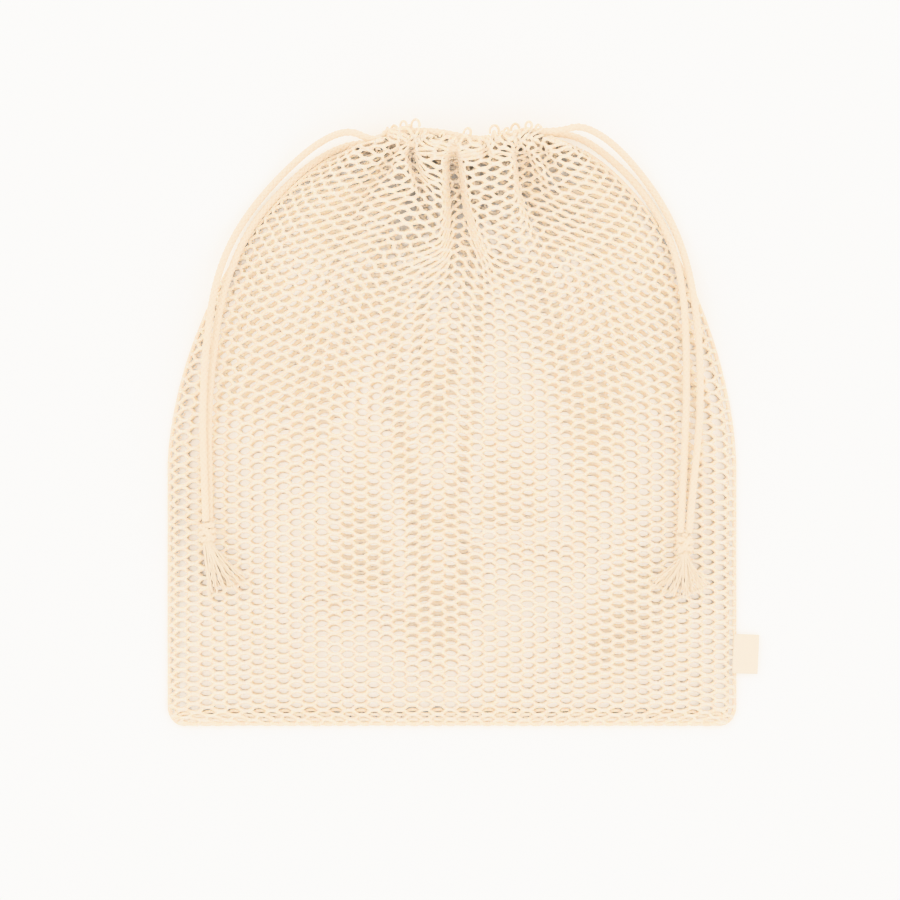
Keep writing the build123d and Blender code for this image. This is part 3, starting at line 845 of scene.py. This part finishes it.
def mouth_loops():
    """The open meshes along the casing's folded edge, which stand up as loops."""
    draw = np.random.default_rng(52)
    tubes = Tubes()
    turn = np.linspace(-0.15, 1.15, 24) * math.pi
    for number, (x, size) in enumerate(LOOPS):
        x = x + draw.uniform(-0.5, 0.5)
        y = float(np.interp(x * MM, *MOUTH_EDGE.T)) / MM - 0.8
        z = LOOP_Z["front" if number % 3 else "back"]
        lean = draw.uniform(-0.35, 0.35)
        across, tall = size * draw.uniform(0.75, 0.95), size * draw.uniform(1.0, 1.35)
        tilt = draw.uniform(-0.8, 0.8)
        up = np.sin(turn) * tall
        over_z = tilt * np.cos(turn) * across
        line = np.stack([x + across * np.cos(turn) + lean * up, y + up, z + over_z], 1) * MM
        ahead, side, over = carried(line)
        tubes.add(line[None], side[None], over[None], 1.25 * MM, 1.0 * MM, sides=8)
    finish_piece(tubes.build("mouth_edge_loops"), "bag", COTTON, "net")


mouth_loops()

# ---- Casing stitches and seams ---------------------------------------------------------------------
STITCH_LONG = 2.7 * MM
STITCH_EVERY = 3.7 * MM
STITCH_THICK = 0.6 * MM


def sewn(surface, name, v):
    """A row of straight stitches across a panel, lying on its upper face."""
    start = np.arange(STITCH_EVERY, CLOTH_WIDTH - STITCH_EVERY, STITCH_EVERY)
    share = np.linspace(0, 1, 6)
    u = start[:, None] + STITCH_LONG * share[None, :]
    place, normal = surface.at(u, np.full(u.shape, v))
    bow = 0.55 * STRAND_THICK + 0.25 * MM - 0.6 * MM * (2 * share - 1) ** 4
    place = place + normal * bow[None, :, None]
    along = unit(np.gradient(place, axis=1))
    tubes = Tubes()
    tubes.add(place, unit(np.cross(normal, along)), normal, STITCH_THICK, STITCH_THICK)
    return tubes.build(name)


STITCH_V = (STITCH_WALE + 0.2) * WALE_PITCH
for side, surface in (("front", front_surface), ("back", back_surface)):
    row = sewn(surface, f"{side}_casing_stitching", STITCH_V)
    finish_piece(row, "bag", THREAD, "thread", f"{side}_casing_stitches")

SEAM_WIDE = 5.6 * MM
OVERLOCK_STEP = 2.6 * MM
middle_surface = Surface((front_surface.cloth + back_surface.cloth) / 2)


def seam(name, u_of, v_of, length, node):
    """A seam's turned edge, and the overlock thread inside. u_of and v_of map (along, in from the edge)."""
    along = np.arange(0, length, OVERLOCK_STEP / 8)
    swing = 0.5 - 0.5 * np.tanh(2.2 * np.cos(2 * math.pi * along / OVERLOCK_STEP)) / math.tanh(2.2)
    edge, binding = Tubes(), Tubes()
    for tubes, inward, lift, wide, thick in (
        (edge, np.full(along.shape, 0.5 * MM), 0.0, 1.9 * MM, 1.6 * MM),
        (binding, 3.6 * MM + 1.8 * MM * swing, 0.4 * MM, 0.5 * MM, 0.45 * MM),
        (binding, np.full(along.shape, 3.4 * MM), -0.3 * MM, 0.5 * MM, 0.45 * MM),
    ):
        place, normal = middle_surface.at(u_of(along, inward), v_of(along, inward))
        bend = lift * np.cos(2 * math.pi * along / OVERLOCK_STEP)
        place = place + normal * bend[:, None]
        ahead = unit(np.gradient(place, axis=0))
        across = unit(np.cross(normal, ahead))
        tubes.add(place[None], across[None], normal[None], wide, thick, sides=10)
    finish_piece(edge.build(f"{name}_turned_edge"), "bag", COTTON, "net", node)
    finish_piece(binding.build(f"{name}_overlock"), "bag", THREAD, "thread", node)


SIDE_LENGTH = STITCH_WALE * WALE_PITCH
seam("left_seam", lambda s, d: d, lambda s, d: s, SIDE_LENGTH, "left_side_seam")
seam("right_seam", lambda s, d: CLOTH_WIDTH - d, lambda s, d: s, SIDE_LENGTH, "right_side_seam")
seam("bottom_seam", lambda s, d: s, lambda s, d: d, CLOTH_WIDTH, "bottom_seam")
for name, node, first, last, span, shift in (
    ("left_seam", "left_side_seam", 0, STITCH_WALE, (0, SEAM_WIDE), 0),
    ("right_seam", "right_side_seam", 0, STITCH_WALE, (CLOTH_WIDTH - SEAM_WIDE, CLOTH_WIDTH), 0),
    ("bottom_seam", "bottom_seam", 0, 3, (0, CLOTH_WIDTH), WAVE_LENGTH / 2),
):
    allowance = Tubes()
    net(allowance, middle_surface, first, last, 31, span, shift)
    finish_piece(allowance.build(f"{name}_allowance"), "bag", COTTON, "net", node)


# ---- Cords ----------------------------------------------------------------------------------------
TURN_RADIUS = (FRONT_LANE_Z - BACK_LANE_Z) / 2
LEFT_TURN_X, LEFT_START_X = 38.4, 27.9  # the left cord turns back at the right end of the mouth
RIGHT_TURN_X, RIGHT_START_X = -24.4, -13.9
CHANNEL_SAG = 4.0  # the cords dip inside the casing, between their exits and where they turn back


def turn_path(turn_x, start_x, lane_y):
    """Along the front casing, round the end of the mouth and back along the other casing."""
    side = 1 if turn_x > start_x else -1
    angle = np.linspace(math.pi / 2, -math.pi / 2, 40)
    bend_x = turn_x + side * TURN_RADIUS * np.cos(angle)
    bend_z = (FRONT_LANE_Z + BACK_LANE_Z) / 2 + TURN_RADIUS * np.sin(angle)
    x = np.concatenate([[start_x], bend_x, [start_x]])
    z = np.concatenate([[FRONT_LANE_Z], bend_z, [BACK_LANE_Z]])
    return np.stack([x, np.full(len(x), lane_y), z], 1) * MM


KNOTS = {"left": (-121.5, -47.0, 14.2), "right": (115.7, -53.0, 14.4)}
KNOT_LENGTH = 11.0
TASSEL_ENDS = {"left": (-112.5, 20.0, 28.0), "right": (114.0, 27.0, 22.0)}  # middle x, width, length
TASSEL_YARNS = 84


def knot_piece(side):
    """An overhand knot of both strands: two wraps round them, and the crossing on top."""
    x, y, z = KNOTS[side]
    way = 1 if side == "left" else -1
    turn = np.linspace(0, 1, 160)
    angle = way * (0.6 + turn * 2.4 * 2 * math.pi)
    reach = 2.75 - 0.5 * np.cos(2 * math.pi * turn) * (turn - 0.5)
    wraps = np.stack([
        x + reach * np.cos(angle) * 1.05,
        y - 1.6 - turn * (KNOT_LENGTH - 3.4),
        z + reach * np.sin(angle) * 0.86], 1)
    lean = np.linspace(-1, 1, 60)
    over = np.stack([
        x + way * 2.6 * lean,
        y - KNOT_LENGTH / 2 - 3.2 * lean,
        z + 3.9 - 3.0 * lean**2], 1)
    tubes = Tubes()
    braid(tubes, wraps * MM, 3.3 * MM)
    braid(tubes, over * MM, 3.1 * MM)
    core = np.stack([np.full(30, x), y - np.linspace(0, KNOT_LENGTH, 30), np.full(30, z)], 1)
    braid(tubes, core * MM, 3.6 * MM)
    return tubes.build(f"{side}_overhand_knot")


def tassel_piece(side):
    """The frayed ends: crimped yarns that fan out on the net."""
    x, y, z = KNOTS[side]
    end_x, end_wide, length = TASSEL_ENDS[side]
    top = y - KNOT_LENGTH + 1.2
    draw = np.random.default_rng(41 if side == "left" else 43)
    tubes = Tubes()
    share = np.linspace(0, 1, 30)
    lines = []
    for _ in range(TASSEL_YARNS):
        spin = draw.uniform(0, 2 * math.pi)
        out = math.sqrt(draw.uniform(0, 1)) * 2.4
        fan = np.clip(draw.normal(0, 0.30), -0.52, 0.52)
        if side == "left":  # most of its yarns hang straight down, and the others fan to the right
            fan = -0.45 + 0.95 * draw.uniform(0, 1) ** 1.5
        reach = length * draw.uniform(0.72, 1.04)
        if side == "left":
            reach *= 1.0 - 0.22 * (fan + 0.5)
        else:
            reach *= 1.0 - 0.35 * abs(fan)
        target = end_x + fan * end_wide
        px = x + out * math.cos(spin) + (target - x - out * math.cos(spin)) * share**1.25
        py = top - reach * share
        pz = z + 0.8 * out * math.sin(spin) - 2.6 * share + 1.2 * draw.uniform(-1, 1) * share
        crimp = draw.uniform(0.15, 0.5) * np.sin(2 * math.pi * share * draw.uniform(3, 6) + spin) * share
        lines.append(np.stack([px + crimp, py, pz + 0.6 * np.roll(crimp, 3)], 1))
    lines = np.array(lines) * MM
    ahead = unit(np.gradient(lines, axis=1))
    up = np.broadcast_to(np.array([0.0, 0.0, 1.0]), lines.shape)
    across = unit(np.cross(up, ahead))
    tubes.add(lines, across, np.cross(ahead, across), 0.55 * MM, 0.5 * MM, sides=6)
    return tubes.build(f"{side}_frayed_end")


def cord_pieces():
    for side in ("left", "right"):
        body = side + "_drawstring"
        knot = finish_piece(knot_piece(side), body, ROPE, "cord", f"{side}_knot")
        frayed = finish_piece(tassel_piece(side), body, FRAY, "tassel", f"{side}_tassel")
    for name, route in ROUTES.items():
        side = name.split("_")[0]
        path = spline_path(route)
        tubes = Tubes()
        braid(tubes, path)
        piece = tubes.build(name + "_braid")
        finish_piece(piece, side + "_drawstring", ROPE, "cord", name)
    for side, exit_x, start_x, turn_x, lane_y in (
        ("left", LEFT_EXIT_X, LEFT_START_X, LEFT_TURN_X, LANE_LEFT_Y),
        ("right", RIGHT_EXIT_X, RIGHT_START_X, RIGHT_TURN_X, LANE_RIGHT_Y),
    ):
        for layer, lane_z in (("front", FRONT_LANE_Z), ("back", BACK_LANE_Z)):
            tubes = Tubes()
            share = np.linspace(0, 1, 60)
            sag = CHANNEL_SAG * np.sin(math.pi * share) ** 2
            along = start_x + (exit_x - start_x) * share
            braid(tubes, np.stack([along, lane_y - sag, np.full(60, lane_z)], 1) * MM)
            piece = tubes.build(f"{side}_cord_{layer}_channel_braid")
            finish_piece(piece, side + "_drawstring", ROPE, "cord", f"{side}_cord_{layer}_channel")
        tubes = Tubes()
        braid(tubes, turn_path(turn_x, start_x, lane_y))
        finish_piece(tubes.build(f"{side}_cord_turn_braid"), "bag", ROPE, "cord", f"{side}_cord_turn")


cord_pieces()


# ---- Label ----------------------------------------------------------------------------------------
LABEL_SHORT = 1.9 * MM  # its end stops this far inside the CAD box
LABEL_Z = 2.2 * MM
LABEL_LEAN = 0.045
LABEL_SLANT = 0.03
LABEL_BOW = 0.25 * MM


def label():
    """A woven tape folded in two, blank, with its cut ends in the seam."""
    low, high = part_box("side_label")
    ply, gap, bend_steps = 0.5 * MM, 0.55 * MM, 12
    reach = high[0] - low[0] + 0.2 * MM
    out = np.linspace(0, reach - gap / 2 - ply / 2, 14)
    arc = np.linspace(math.pi / 2, -math.pi / 2, bend_steps)
    bend = np.stack([out[-1] + (gap + ply) / 2 * np.cos(arc), (gap + ply) / 2 * np.sin(arc)], 1)
    upper = np.stack([out, np.full(out.shape, (gap + ply) / 2)], 1)
    line = np.concatenate([upper[:-1], bend, upper[::-1][1:] * (1, -1)])
    ahead = unit(np.gradient(line, axis=0))
    normal = np.stack([-ahead[:, 1], ahead[:, 0]], 1)
    ring = np.concatenate([line + normal * ply / 2, (line - normal * ply / 2)[::-1]])
    across = np.linspace(low[1], high[1], 30)
    middle = (low[1] + high[1]) / 2
    points, uvs = [], []
    for y in across:
        sag = LABEL_BOW * math.cos((y - middle) / (high[1] - low[1]) * 5)
        out_x = high[0] - LABEL_SHORT - reach + ring[:, 0] + (y - middle) * LABEL_LEAN
        out_y = np.full(len(ring), y) - LABEL_SLANT * ring[:, 0]
        out_z = LABEL_Z + ring[:, 1] + sag * ring[:, 0] / reach
        points.append(np.stack([out_x, out_y, out_z], 1))
        uvs.append(np.stack([ring[:, 0], np.full(len(ring), y)], 1))
    points, uvs = np.array(points), np.array(uvs)
    count = len(ring)
    index = np.arange(len(across) * count).reshape(len(across), count)
    following = np.roll(index, -1, axis=1)
    faces = [np.stack([index[:-1], index[1:], following[1:], following[:-1]], -1).reshape(-1, 4)]
    half = count // 2
    for end, flip in ((index[0], False), (index[-1], True)):
        cap = np.stack([end[:half - 1], end[1:half], end[::-1][1:half], end[::-1][:half - 1]], -1)
        faces.append(cap[:, ::-1] if flip else cap)
    piece = make_mesh("side_label_tape", points.reshape(-1, 3), np.concatenate(faces), uvs.reshape(-1, 2))
    finish_piece(piece, "label", TAPE, "label", "side_label")


label()
